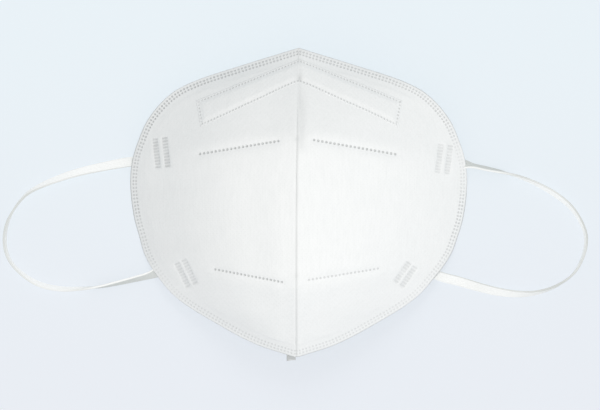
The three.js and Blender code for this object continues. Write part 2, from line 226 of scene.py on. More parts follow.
def bell(value, width):
    """1 at 0, falling off as a Gaussian of that width."""
    return np.exp(-(value / width) ** 2)


def rim_height(y):
    return np.maximum(rim_curve(y), 0)


def crease_x(y):
    """Drifts from the middle at the nose as a quarter of a sine, fast at first."""
    return -DRIFT * np.sin(np.pi / 2 * np.clip((NOSE_Y - y) / DRIFT_RUN, 0, 1))


def rim_x(side, y):
    """Side +1 or -1. The outline is even about x = 0, but its chin has drifted."""
    return side * half_width(y) - DRIFT * smooth_step(-y, 10, 45)


def front_height(x, y):
    """Height of the outer face. Across a section it falls from the crease to the rim as
    PINCH t + (1 - PINCH) t^ROUND, where t is the share of the way out."""
    across = x - crease_x(y)
    reach = np.abs(rim_x(np.sign(across), y) - crease_x(y))
    share = np.abs(across) / np.maximum(reach, LEAST_REACH)
    towards = np.where(y > FOLD_MIDDLE, NOSE_Y - FOLD_MIDDLE, CHIN_Y - FOLD_MIDDLE)
    sweep = np.sign(towards) * np.sin(np.pi * (y - FOLD_MIDDLE) / towards)
    top = crease_height(y + FOLD_SWEEP * share * sweep)
    fall = PINCH * share + (1 - PINCH) * share ** ROUND
    return rim_height(y) + (top - rim_height(y)) * (1 - fall)


def front_normal(side, x, y):
    """Outward normal of one panel, taken slightly inside it so that every edge has one."""
    inset, step = 0.02, 0.2
    px, py = x + (side * NOSE_Y / 2 - x) * inset, y * (1 - inset)
    slope_x = (front_height(px + step, py) - front_height(px - step, py)) / (2 * step)
    slope_y = (front_height(px, py + step) - front_height(px, py - step)) / (2 * step)
    normal = np.stack([-slope_x, -slope_y, np.ones_like(slope_x)], -1)
    return normal / np.linalg.norm(normal, axis=-1, keepdims=True)


def front_points(side, x, y, lift, raised=0.0):
    """Points of a panel, lifted off its outer face along the normal. Then they are raised straight
    up, as far as brings the cloth out by that much."""
    normal = front_normal(side, x, y)
    points = np.stack([x, y, front_height(x, y)], -1) + normal * np.asarray(lift)[..., None]
    points[..., 2] += raised / normal[..., 2]
    return points


# ---- Meshes --------------------------------------------------------------------------------

JOIN_DECIMALS = 4  # points that agree to this many decimals of a millimetre are one


def grid_triangles(numbers):
    """Two triangles for each cell of a grid of vertex numbers."""
    a, b, c, d = numbers[:-1, :-1], numbers[1:, :-1], numbers[1:, 1:], numbers[:-1, 1:]
    return np.concatenate([np.stack([a, b, c], -1).reshape(-1, 3),
                           np.stack([a, c, d], -1).reshape(-1, 3)])


def make_piece(name, points, triangles, attributes, material):
    """A mesh object from arrays in mm: coinciding points are joined, triangles that close up
    are dropped, and the shell is turned so that its volume is positive."""
    rounded = np.round(points, JOIN_DECIMALS)
    _, first, joined = np.unique(rounded, axis=0, return_index=True, return_inverse=True)
    triangles = joined.reshape(-1)[triangles]
    points = points[first]
    a, b, c = triangles.T
    triangles = triangles[(a != b) & (b != c) & (c != a)]
    a, b, c = (points[corner] for corner in triangles.T)
    if np.einsum("ij,ij->", a, np.cross(b, c)) < 0:
        triangles = triangles[:, ::-1]
    mesh = bpy.data.meshes.new(name)
    mesh.from_pydata((points * MM).tolist(), [], triangles.tolist())
    mesh.polygons.foreach_set("use_smooth", np.ones(len(mesh.polygons), bool))
    for key, values in attributes.items():
        layer = mesh.attributes.new(key, "FLOAT", "POINT")
        layer.data.foreach_set("value", values[first].astype(np.float32))
    mesh.materials.append(material)
    mesh.update()
    piece = bpy.data.objects.new(name, mesh)
    bpy.context.scene.collection.objects.link(piece)
    return piece


def two_skins(outer, inner, columns=None):
    """Closes an outer and an inner grid of points into one shell. They have the same number of
    rows. Where the inner one has fewer columns, columns says which outer ones it kept."""
    rows, wide = outer.shape[:2]
    columns = np.arange(wide) if columns is None else columns
    top = np.arange(rows * wide).reshape(rows, wide)
    under = rows * wide + np.arange(rows * len(columns)).reshape(rows, len(columns))
    parts = [grid_triangles(top), grid_triangles(under[:, ::-1]),
             grid_triangles(np.stack([under[:, 0], top[:, 0]], 1)),
             grid_triangles(np.stack([top[:, -1], under[:, -1]], 1))]
    start = np.arange(wide - 1)
    kept = np.searchsorted(columns, start, "right") - 1
    for end, turn in ((0, 1), (rows - 1, -1)):
        over, below = top[end], under[end]
        fans = np.stack([over[start], over[start + 1], below[kept]], 1)
        steps = np.stack([below[:-1], over[columns[1:]], below[1:]], 1)
        parts += [fans[:, ::turn], steps[:, ::turn]]
    points = np.concatenate([outer.reshape(-1, 3), inner.reshape(-1, 3)])
    return points, np.concatenate(parts)


# ---- Materials -----------------------------------------------------------------------------

class Value:
    """A socket. Arithmetic on it adds Math nodes to its tree."""

    def __init__(self, shader, socket):
        self.shader, self.socket = shader, socket

    def math(self, operation, *others):
        inputs = dict(enumerate((self,) + others))
        return self.shader.node("ShaderNodeMath", {"operation": operation}, inputs)

    def reflected(self, operation, other):
        return self.shader.node("ShaderNodeMath", {"operation": operation}, {0: other, 1: self})

    def __add__(self, other):
        return self.math("ADD", other)

    def __sub__(self, other):
        return self.math("SUBTRACT", other)

    def __rsub__(self, other):
        return self.reflected("SUBTRACT", other)

    def __mul__(self, other):
        return self.math("MULTIPLY", other)

    def __truediv__(self, other):
        return self.math("DIVIDE", other)

    def __abs__(self):
        return self.math("ABSOLUTE")

    __radd__, __rmul__ = __add__, __mul__

    def smooth(self, low, high):
        """0 at low and 1 at high, easing at both ends. Low may be the larger."""
        settings = {"interpolation_type": "SMOOTHSTEP"}
        ends = (low, high, 0.0, 1.0) if low < high else (high, low, 1.0, 0.0)
        inputs = dict(zip(("From Min", "From Max", "To Min", "To Max"), ends))
        return self.shader.node("ShaderNodeMapRange", settings, {"Value": self, **inputs})


class Shader:
    """One material's node tree."""

    def __init__(self, name):
        self.material = bpy.data.materials.new(name)
        self.material.use_nodes = True
        self.tree = self.material.node_tree
        self.tree.nodes.clear()

    def node(self, kind, settings=None, inputs=None, output=0):
        """Any node: its settings first, then the values or links of its sockets."""
        node = self.tree.nodes.new(kind)
        for key, value in (settings or {}).items():
            setattr(node, key, value)
        for key, value in (inputs or {}).items():
            if isinstance(value, Value):
                self.tree.links.new(value.socket, node.inputs[key])
            else:
                node.inputs[key].default_value = value
        return Value(self, node.outputs[output]) if len(node.outputs) else None

    def attribute(self, name):
        return self.node("ShaderNodeAttribute", {"attribute_name": name}, output="Fac")

    def place(self):
        """Object coordinates."""
        return self.node("ShaderNodeTexCoord", output="Object")

    def plan(self):
        """The x and y of a point, in mm."""
        parts = {"Vector": self.place()}
        return tuple(self.node("ShaderNodeSeparateXYZ", inputs=parts, output=axis) * 1000.0
                     for axis in ("X", "Y"))

    def noise(self, size, detail=2.0, stretch=(1.0, 1.0, 1.0), roughness=0.5):
        """Noise with features of about that size in mm, from 0 to 1."""
        scale = tuple(1.0 / (size * MM * way) for way in stretch)
        vector = self.node("ShaderNodeMapping", inputs={"Vector": self.place(), "Scale": scale})
        inputs = {"Vector": vector, "Scale": 1.0, "Detail": detail, "Roughness": roughness}
        return self.node("ShaderNodeTexNoise", inputs=inputs)

    def mix(self, factor, first, second):
        settings = {"data_type": "RGBA"}
        return self.node("ShaderNodeMix", settings, {0: factor, 6: first, 7: second}, output=2)

    def finish(self, colour, roughness, height=None, **constants):
        """Principled surface, with a bump where a height is given, in mm."""
        inputs = {"Base Color": colour, "Roughness": roughness, **constants}
        if height is not None:
            relief = {"Height": height, "Distance": MM, "Strength": 1.0}
            inputs["Normal"] = self.node("ShaderNodeBump", inputs=relief)
        surface = self.node("ShaderNodeBsdfPrincipled", inputs=inputs)
        self.node("ShaderNodeOutputMaterial", inputs={"Surface": surface})
        return self.material


CLOTH_WHITE = (0.875, 0.885, 0.88, 1)
CLOTH_SHADE = (0.79, 0.805, 0.80, 1)
# Grey of the welds, and also of the painted shade by the crease, along the cut edge and on the seam
# allowance.
WELD_AND_SHADE_GREY = (0.47, 0.485, 0.48, 1)
ELASTIC_WHITE = (0.955, 0.965, 0.955, 1)
# Grey of the painted shade on the bands.
ELASTIC_SHADE = (0.54, 0.565, 0.545, 1)

CLOUD_SIZE, STREAK_SIZE, FIBRE_SIZE = 7.0, 1.1, 0.6  # of the cloth's features, in mm
BOND_TURN = 2.9  # the sines of its bond points turn by this many radians a millimetre
CLOTH_ROUGH, SEAM_ROUGH = 0.92, 0.93
CLOTH_SHEEN = {"Sheen Weight": 0.15}

# What a weld does where it is pressed fully: it greys the cloth by a share, flattens a share of
# the cloth's own bump, sinks in by some millimetres and takes away some roughness.
WELD_GREYS, WELD_FLATTENS, WELD_SINKS, WELD_SMOOTHS = 0.62, 0.7, 0.32, 0.25
HATCH_STRIPE, HATCH_WORN, HATCH_PLAIN = 0.3, 0.2, 0.08  # how hard the parts of a bar are pressed
STRIP_GREYS, STRIP_SINKS = 0.42, 0.2  # the same for the dots of the strip
STRIP_COARSE = 1.6  # the strip's cloth has this many times the bump

# Painted shadow on the seam allowance under the rim: it turns grey from the first y to the second,
# towards its end past the chin. It turns greyer still from the first y to the second by the rim, or
# x along its free edge.
SEAM_END, SEAM_END_SHADOW = (-70, -76), 0.4
SEAM_BY_RIM, SEAM_FREE_EDGE, SEAM_EDGE_SHADOW = (-77.9, -77.3), (-4.7, -5.5), 0.45

RIB_PITCH = 0.83  # of the elastic's ribs, across it
STITCH_PITCH = 0.75  # of its rows of stitches, along it
STITCH_WAVE = 0.9  # how far a row of stitches weaves over the ribs, in radians of its pitch
ELASTIC_ROUGH = 0.85
ELASTIC_GLOW = 0.11  # of its own colour, which lifts its white and stands for nothing real


def nonwoven(shader):
    """Colour and bump of spunbond cloth: a little cloudy where the fibres lie thicker, with fine
    crossing fibres and a close grid of tiny bond points, where the product of two sines peaks."""
    cloud = shader.noise(CLOUD_SIZE, 2.0)
    streak = shader.noise(STREAK_SIZE, 2.0, stretch=(1.0, 7.0, 1.0))
    fibre = shader.noise(FIBRE_SIZE, 3.0, stretch=(1.5, 1.0, 1.0), roughness=0.7)
    x, y = shader.plan()
    bond_x = (x * BOND_TURN).math("SINE")
    bond_y = (y * BOND_TURN).math("SINE")
    bond = (bond_x * bond_y).smooth(0.35, 1.0)
    tone = cloud * 0.15 + streak * 0.45 + fibre * 0.4
    colour = shader.mix((tone + bond * 0.08).smooth(0.2, 1.0), CLOTH_WHITE, CLOTH_SHADE)
    height = fibre * 0.05 + streak * 0.04 - bond * 0.03
    return colour, height


def dot_mask(along, across, pitch, radius):
    """1 inside each dot of a row: the distance from the nearest dot's middle, eased at its edge."""
    offset = ((along / pitch).math("FRACT") - 0.5) * pitch
    distance = (offset * offset + across * across).math("SQRT")
    return distance.smooth(radius * DOT_START, radius * DOT_FULL)


def segment_frame(x, y, row):
    """Distance along and across a straight segment in plan, and its length."""
    dx, dy = row["x1"] - row["x0"], row["y1"] - row["y0"]
    length = math.hypot(dx, dy)
    dx, dy = dx / length, dy / length
    from_x, from_y = x - float(row["x0"]), y - float(row["y0"])
    return from_x * float(dx) + from_y * float(dy), from_y * float(dx) - from_x * float(dy), length


def inside(along, length, ease):
    """1 between 0 and length, eased at both ends."""
    return along.smooth(-ease, ease) * along.smooth(length + ease, length - ease)


def panel_cloth(side):
    """The cloth of one panel with its welds: two rows of dots along the hem, the dotted rows
    along the folds, and the hatched bars over the ends of the band."""
    shader = Shader(f"welded_nonwoven_{'left' if side > 0 else 'right'}")
    colour, height = nonwoven(shader)
    along, inward = shader.attribute("rim_along"), shader.attribute("rim_in")
    middle, apart = sum(HEM_ROWS) / 2, (HEM_ROWS[1] - HEM_ROWS[0]) / 2
    x, y = shader.plan()
    firm, painted_edge_shade = shader.attribute("hem_firm"), shader.attribute("painted_edge_shade")
    welds = dot_mask(along, abs(inward - middle) - apart, HEM_PITCH, HEM_DOT) * firm
    for row in LINES[side]:
        run, off, length = segment_frame(x, y, row)
        dots = dot_mask(run, off, length / row["dots"], float(row["radius"]))
        welds = welds + dots * inside(run, length, 0.2) * float(row["firm"])
    hatch = 0.0
    for row in BARS[side]:
        run, off, length = segment_frame(x, y, row)
        bar = (abs(off) - float(row["spacing"]) / 2).math("ABSOLUTE")
        bar = bar.smooth(BAR_HALF_WIDTH + 0.3, BAR_HALF_WIDTH - 0.3) * inside(run, length, 0.4)
        stripe = (run * (2 * math.pi / BAR_STRIPE)).math("SINE").smooth(-1, 1)
        worn = shader.noise(4.0, 1.0).smooth(0.3, 0.7)
        pattern = stripe * HATCH_STRIPE + worn * HATCH_WORN + HATCH_PLAIN
        hatch = hatch + bar * pattern * float(row["firm"])
    pressed = (welds + hatch).math("MINIMUM", 1.0)
    # Painted shade along the cut edge, as strong at each place as the hem's table gives it.
    edge = inward.smooth(*CUT_EDGE_SHADE)
    colour = shader.mix(pressed * WELD_GREYS, colour, WELD_AND_SHADE_GREY)
    colour = shader.mix(edge * painted_edge_shade, colour, WELD_AND_SHADE_GREY)
    # Painted shade by the crease.
    colour = shader.mix(shader.attribute("painted_crease_shade"), colour, WELD_AND_SHADE_GREY)
    height = height * (1.0 - pressed * WELD_FLATTENS) - pressed * WELD_SINKS
    roughness = CLOTH_ROUGH - pressed * WELD_SMOOTHS
    return shader.finish(colour, roughness, height, **CLOTH_SHEEN)


def strip_cloth():
    """The nose strip: a row of weld dots all round just inside its edge."""
    shader = Shader("welded_nonwoven_strip")
    colour, height = nonwoven(shader)
    along, inward = shader.attribute("edge_along"), shader.attribute("edge_in")
    dots = dot_mask(along, inward - STRIP_MARGIN, STRIP_PITCH, STRIP_DOT)
    dots = dots * shader.attribute("edge_firm")
    colour = shader.mix(dots * STRIP_GREYS, colour, WELD_AND_SHADE_GREY)
    # Painted shade by the crease, as on the panels.
    colour = shader.mix(shader.attribute("painted_crease_shade"), colour, WELD_AND_SHADE_GREY)
    height = height * STRIP_COARSE - dots * STRIP_SINKS
    return shader.finish(colour, CLOTH_ROUGH, height, **CLOTH_SHEEN)


def seam_cloth():
    """The seam allowance, with painted shadow where it lies under the rim: it turns grey towards
    its end past the chin, and greyer by the rim and along its free edge."""
    shader = Shader("nonwoven_seam_painted_shadow")
    colour, height = nonwoven(shader)
    x, y = shader.plan()
    # Painted shadow by the rim, along the free edge, and towards the end past the chin.
    seam_edge_shadow = y.smooth(*SEAM_BY_RIM).math("MAXIMUM", x.smooth(*SEAM_FREE_EDGE))
    grey = y.smooth(*SEAM_END) * SEAM_END_SHADOW + seam_edge_shadow * SEAM_EDGE_SHADOW
    colour = shader.mix(grey, colour, WELD_AND_SHADE_GREY)
    return shader.finish(colour, SEAM_ROUGH, height, **CLOTH_SHEEN)


def elastic():
    """Flat knitted elastic: ribs along it, crossed by rows of stitches. Painted shade greys its
    face and its upper edge in places along it, and a faint glow of its own colour is painted light."""
    shader = Shader("knitted_elastic")
    along, across = shader.attribute("band_along"), shader.attribute("band_across")
    face_shade, upper_edge = shader.attribute("band_face_shade"), shader.attribute("band_upper_edge")
    line = shader.attribute("band_edge_shade")
    rib = (across * (2 * math.pi / RIB_PITCH)).math("COSINE")
    wave = (across * (math.pi / RIB_PITCH)).math("SINE") * STITCH_WAVE
    course = (along * (2 * math.pi / STITCH_PITCH) + wave).math("SINE")
    fuzz = shader.noise(0.5, 3.0)
    tone = (0.5 - rib * 0.3 - course * 0.15 + (fuzz - 0.5) * 0.5).smooth(0.0, 1.6)
    # Painted shade: the face is greyed where the band's table says grey, and its upper edge where
    # it says line.
    grey = face_shade * (1.0 - upper_edge) + line * upper_edge
    colour = shader.mix(grey, ELASTIC_WHITE, ELASTIC_SHADE)
    colour = shader.mix(tone * 0.12, colour, WELD_AND_SHADE_GREY)
    height = rib * 0.05 + course * 0.03 + fuzz * 0.02
    settings = {"Sheen Weight": 0.1, "Emission Color": colour, "Emission Strength": ELASTIC_GLOW}
    return shader.finish(colour, ELASTIC_ROUGH, height, **settings)


def floor_paint():
    """A pale, cool, matt sheet that gives off most of its brightness itself. Its tones ease from
    those by the chin to those by the nose."""
    shader = Shader("pale_sheet")
    towards_nose = shader.plan()[1].smooth(-FLOOR_EASE, FLOOR_EASE)
    colour = shader.mix(towards_nose, FLOOR_BY_CHIN, FLOOR_BY_NOSE)
    glow = shader.mix(towards_nose, GLOW_BY_CHIN, GLOW_BY_NOSE)
    settings = {"Emission Color": glow, "Emission Strength": 1.0, "Specular IOR Level": 0.0}
    return shader.finish(colour, 1.0, **settings)


# ---- Camera --------------------------------------------------------------------------------

LENS = 600.0  # millimetres, as the sensor
SENSOR = 36.0
FRAME_WIDTH = 0.3010  # metres seen from side to side, at the level of the hem
HEM_LEVEL = 0.008
VIEW_X, VIEW_Y = 0.00065, -0.0002  # metres: the place that the camera stands over


def add_camera():
    """Straight over the front, with the nose towards the top of the frame."""
    data = bpy.data.cameras.new("camera")
    data.lens, data.sensor_width = LENS, SENSOR
    distance = FRAME_WIDTH * LENS / SENSOR
    data.clip_end = 4 * distance
    camera = bpy.data.objects.new("camera", data)
    camera.location = (VIEW_X, VIEW_Y, HEM_LEVEL + distance)
    bpy.context.scene.collection.objects.link(camera)
    bpy.context.scene.camera = camera


# ---- Ear loops -----------------------------------------------------------------------------

BAND_RING = 0.8  # spacing of its rings
BAND_ACROSS = 14  # points across each face
BAND_EDGE = 5  # points round each edge
UPPER_EDGE = (0.35, 0.7)  # the upper edge's painted shade starts and is full this far out on the round edge, in radii


def unit(vectors):
    return vectors / np.linalg.norm(vectors, axis=-1, keepdims=True)


def band_rest(roll):
    """Height of the band's middle with its lower edge on the table."""
    height = np.abs(np.sin(roll)) * BAND_WIDTH + np.abs(np.cos(roll)) * BAND_THICK
    return height / 2 + FLOOR_CLEARANCE


def band_axes(ahead):
    """Level sideways direction across the band, and the direction over it."""
    level = unit(np.stack([-ahead[:, 1], ahead[:, 0], np.zeros(len(ahead))], -1))
    return level, np.cross(ahead, level)


def band_route(rows):
    """Middle of the band, its roll, and the painted shade of its face and upper edge, at even
    steps. Welded rows lie under the panel along its normal and are square to it. The others lie on
    the table."""
    side = np.sign(rows["x"][0])
    welded = rows["roll"] == WELDED
    roll = np.radians(np.where(welded, 0, rows["roll"]))
    depth = PANEL_WALL + BAND_CLEARANCE + BAND_THICK / 2
    under = front_points(side, rows["x"], rows["y"], np.full(len(rows), -depth))
    under[:, 2] = np.maximum(under[:, 2], band_rest(0))
    on_table = np.stack([rows["x"], rows["y"], band_rest(roll)], -1)
    middles = np.where(welded[:, None], under, on_table)
    number = np.arange(len(rows))
    before, after = np.maximum(number - 1, 0), np.minimum(number + 1, len(rows) - 1)
    level, over = band_axes(unit(middles[after] - middles[before]))
    normal = front_normal(side, rows["x"], rows["y"])
    square = np.arctan2(-np.sum(normal * level, -1), np.sum(normal * over, -1))
    roll = np.where(welded, square, roll)
    run = np.concatenate([[0], np.cumsum(np.linalg.norm(np.diff(middles, axis=0), axis=1))])
    at = np.linspace(0, run[-1], int(run[-1] / BAND_RING) + 1)
    place = np.stack([curve_through(run, middles[:, axis])(at) for axis in range(3)], -1)
    turn = curve_through(run, roll)(at)
    place[:, 2] = np.maximum(place[:, 2], band_rest(turn))
    return place, turn, np.interp(at, run, rows["grey"]), np.interp(at, run, rows["line"])


def band_section():
    """Outline of the flat section: two faces joined by half circles. Gives the place across and
    through, and 1 on the upper edge, which carries painted shade."""
    edge = BAND_THICK / 2
    end = BAND_WIDTH / 2 - edge
    face = np.linspace(-1, 1, BAND_ACROSS)[1:-1] * end
    turn = np.linspace(-np.pi / 2, np.pi / 2, BAND_EDGE)
    across = np.concatenate([face, end + edge * np.cos(turn), -face, -end - edge * np.cos(turn)])
    through = np.concatenate([-edge + 0 * face, edge * np.sin(turn),
                              edge + 0 * face, -edge * np.sin(turn)])
    start, full = UPPER_EDGE
    return across, through, smooth_step(across, end + start * edge, end + full * edge)


def add_band(name, rows, material):
    """A flat elastic band: its section carried along its route and turned by its roll."""
    place, turn, grey, line = band_route(rows)
    ahead = unit(np.gradient(place, axis=0))
    level, over = band_axes(ahead)
    wide = level * np.cos(turn)[:, None] + over * np.sin(turn)[:, None]
    thick = over * np.cos(turn)[:, None] - level * np.sin(turn)[:, None]
    across, through, upper_edge = band_section()
    rings = (place[:, None] + wide[:, None] * across[None, :, None]
             + thick[:, None] * through[None, :, None])
    count, sides = rings.shape[:2]
    numbers = np.arange(count * sides).reshape(count, sides)
    points = np.concatenate([rings.reshape(-1, 3), place[[0, -1]]])
    walls = grid_triangles(np.concatenate([numbers, numbers[:, :1]], 1))[:, ::-1]
    near, far = (np.stack([np.full(sides, count * sides + end), ring, np.roll(ring, -1)], -1)
                 for end, ring in enumerate((numbers[0], numbers[-1])))
    triangles = np.concatenate([walls, near[:, ::-1], far])
    run = np.concatenate([[0], np.cumsum(np.linalg.norm(np.diff(place, axis=0), axis=1))])

    def spread(values, ends):
        return np.append(np.broadcast_to(values, (count, sides)).reshape(-1), ends)

    attributes = {
        "band_along": spread(run[:, None], [0, run[-1]]),
        "band_across": spread(across, [0, 0]),
        "band_upper_edge": spread(upper_edge, [0, 0]),
        "band_face_shade": spread(grey[:, None], grey[[0, -1]]),
        "band_edge_shade": spread(line[:, None], line[[0, -1]]),
    }
    band = make_piece(name + "_elastic", points, triangles, attributes, material)
    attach(band, "root")
    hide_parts(name)
    place[0] * MM
    place * MM
    return band


# ---- Panels --------------------------------------------------------------------------------

RIM_SAMPLES = 4001  # fine steps along the rim, on which the rows are spaced evenly
PANEL_ROWS = 600
HEM_COLUMNS = 18
BODY_COLUMNS = 100
INNER_STEP = 7  # every so many columns of the outer face has one on the inner face
CREASE_CROWDING = 1.3  # crowds the columns towards the crease
EDGE_GAP = 0.03  # how far each panel keeps from the crease's line
RIM_WALL = 0.6  # at the very rim the wall is this share of the hem's
TIP_BLEND = 6.0  # how far from nose and chin the hem turns into line with the crease

# How far the cloth has swollen halfway across, and how much more on the wearer's right by the
# nose, and on the left towards both nose and chin. There is none past SWELLING_END.
RIGHT_SWELLING, RIGHT_SWELLING_MORE = 3.1, 0.4
LEFT_SWELLING, LEFT_SWELLING_MORE = 0.8, 0.6
SWELLING_END, SWELLING_EASE = 74, 22

# Relief of the cloth, in mm.
PUFF = 0.2
LONG_WAVE, CROSS_WAVE, SLANT_WAVE = 0.16, 0.06, 0.05
PUCKER = 0.06
ROW_DENT, ROW_BORDER = 0.4, 0.1
BAR_DENT, BAR_RIDGE = 0.45, 0.15
CREASE_RISE = 0.75  # on the wearer's right of the crease, from the upper fold down
NOSE_DENT = 0.75  # on the wearer's left of the crease, above the upper fold
CREASE_ROLL = 0.65

# Painted shade by the crease: a fine line, bands beside it that ease in from low to full and out up
# to high, and round spots where the folds, the strip and the hem cross it.
LINE_SHADE, LINE_SHADE_MORE, LINE_WIDTH = 0.26, 0.12, 0.5
SHADE_BANDS = table("off width low full high grey", [
    (1.0, 1.1, 42, 54, 74, 0.2), (2.0, 2.0, 24, 30, 60, 0.17),
])
SHADE_EASE = 12
SHADE_SPOTS = table("off y grey", [
    (0, 32.6, 0.18), (0, -35.5, 0.12), (0.6, 63.0, 0.35), (0.6, 72.0, 0.2), (0.6, 76.4, 0.2),
])
SPOT_SIZE = 1.4


def plan_segment(x, y, row):
    """Distance along and across a segment in plan, and its length, for arrays."""
    step = np.array([row["x1"] - row["x0"], row["y1"] - row["y0"]])
    length = np.hypot(*step)
    dx, dy = step / length
    along = (x - row["x0"]) * dx + (y - row["y0"]) * dy
    across = (y - row["y0"]) * dx - (x - row["x0"]) * dy
    return along, across, length


def panel_plan(side):
    """Plan grid of a panel. A row runs straight in from the rim across the hem, then straight
    on to the crease point that it fans out from. Also gives each point's distance along the
    rim and in from it."""
    eased = 0.5 * (1 - np.cos(np.linspace(0, np.pi, RIM_SAMPLES)))
    y = NOSE_Y + (CHIN_Y - NOSE_Y) * eased
    run = np.concatenate([[0], np.cumsum(np.hypot(np.diff(rim_x(side, y)), np.diff(y)))])
    along = np.linspace(0, run[-1], PANEL_ROWS)
    y = np.interp(along, run, y)
    rim = np.stack([rim_x(side, y), y], -1)
    tangent = unit(np.gradient(rim, axis=0))
    inward = side * np.stack([tangent[:, 1], -tangent[:, 0]], -1)
    near_tip = np.exp(-np.minimum(along, run[-1] - along) / TIP_BLEND)[:, None]
    to_middle = np.stack([0 * y, -np.sign(y)], -1)
    direction = unit((1 - near_tip) * inward + near_tip * to_middle)
    direction /= np.sum(direction * inward, -1, keepdims=True)
    hem_in = np.linspace(0, HEM, HEM_COLUMNS + 1)
    hem = rim[:, None] + direction[:, None] * hem_in[None, :, None]
    inner = hem[:, -1]
    crease_y = np.interp(fan_start(y), [CHIN_Y, NOSE_Y], [inner[-1, 1], inner[0, 1]])
    crease = np.stack([crease_x(crease_y), crease_y], -1)
    share = (np.arange(BODY_COLUMNS)[::-1] / BODY_COLUMNS) ** CREASE_CROWDING
    body = crease[:, None] + (inner - crease)[:, None] * share[None, :, None]
    body_in = HEM + np.linalg.norm(body - inner[:, None], axis=-1)
    plan = np.concatenate([hem, body], 1)
    distance_in = np.concatenate([np.broadcast_to(hem_in, (PANEL_ROWS, len(hem_in))), body_in], 1)
    x, y = plan[..., 0], plan[..., 1]
    x = crease_x(y) + side * np.maximum(side * (x - crease_x(y)), EDGE_GAP)
    return x, y, np.broadcast_to(along[:, None], x.shape), distance_in


def swelling(side, x, y):
    """How far the cloth has swollen between the crease and the rim, in mm: sin^2 of the way
    across, so it leaves both alone."""
    reach = np.abs(rim_x(side, y) - crease_x(y))
    share = np.clip(np.abs(x - crease_x(y)) / np.maximum(reach, LEAST_REACH), 0, 1)
    if side < 0:
        most = RIGHT_SWELLING + RIGHT_SWELLING_MORE * smooth_step(y, 20, 50)
    else:
        most = LEFT_SWELLING + LEFT_SWELLING_MORE * smooth_step(np.abs(y), 25, 50)
    fade = smooth_step(SWELLING_END - np.abs(y), 0, SWELLING_EASE)
    return most * fade * np.sin(math.pi * share) ** 2


def panel_relief(side, x, y, along, inward):
    """Lift of the puffy cloth off the height field, in mm. Inside the flat hem it stands proud by
    PUFF and is uneven by a few long sines. Behind the hem it puckers, as sines along the rim. It
    is pressed in along the dotted rows and under the bars, raised on one side of the crease,
    dented on the other near the nose, and rolls in at the crease, all of them as bells."""
    from_crease = x - crease_x(y)
    lift = PUFF + LONG_WAVE * np.sin(x * 0.11 + 0.9 * side) * np.sin(y * 0.087 + 0.4)
    lift = lift + CROSS_WAVE * np.sin(x * 0.31 + y * 0.07)
    lift = lift + SLANT_WAVE * np.sin(y * 0.23 - x * 0.12 + 1.1)
    pucker = np.sin(along * 0.23 + 1.7 * np.sin(along * 0.05)) + 0.5 * np.sin(along * 0.41 + side)
    lift = lift + PUCKER * pucker * bell(np.maximum(inward - 9, 0), 7)
    for row in LINES[side]:
        run, off, length = plan_segment(x, y, row)
        on_row = smooth_step(run, -2.5, 1.5) * (1 - smooth_step(run, length - 1.5, length + 2.5))
        border = ROW_BORDER * bell(np.abs(off) - 4.5, 2.5)
        lift = lift - on_row * (ROW_DENT * bell(off, 1.7) - border)
    for row in BARS[side]:
        run, off, length = plan_segment(x, y, row)
        on_bar = smooth_step(run, -0.8, 0.6) * (1 - smooth_step(run, length - 0.6, length + 0.8))
        from_bar = np.abs(np.abs(off) - row["spacing"] / 2)
        off_bar = smooth_step(from_bar, BAR_HALF_WIDTH - 0.5, BAR_HALF_WIDTH + 0.7)
        lift = lift - BAR_DENT * on_bar * (1 - off_bar)
        lift = lift + BAR_RIDGE * on_bar * bell(np.abs(off), 0.8)
    lift = lift + CREASE_RISE * bell(from_crease + 9.5, 7) * smooth_step(42 - y, 0, 20)
    by_nose = smooth_step(y, 27, 42) * smooth_step(72 - y, 0, 16)
    lift = lift - NOSE_DENT * bell(from_crease - 1.9, 2.2) * by_nose
    lift = lift * smooth_step(inward, 3.6, 8.5)
    return lift - CREASE_ROLL * bell(from_crease, 0.55) * smooth_step(52 - y, 0, 12)


def painted_crease_shade(x, y):
    """How much painted shade greys the cloth by the crease, 0 to 1: the sum of bells over the line,
    the bands and the spots. The line is darkest above the lower fold."""
    from_crease = x - crease_x(y)
    darkest = smooth_step(y, 5, -15) - smooth_step(y, -38, -48)
    line = LINE_SHADE + LINE_SHADE_MORE * darkest
    shade = line * bell(from_crease, LINE_WIDTH) * smooth_step(54 - y, 0, SHADE_EASE)
    for band in SHADE_BANDS:
        eased = smooth_step(y, band["low"], band["full"])
        eased = eased * smooth_step(band["high"] - y, 0, SHADE_EASE)
        shade = shade + band["grey"] * bell(from_crease - band["off"], band["width"]) * eased
    for spot in SHADE_SPOTS:
        away = np.hypot(from_crease - spot["off"], y - spot["y"])
        shade = shade + spot["grey"] * bell(away, SPOT_SIZE)
    return np.clip(shade, 0, 1)


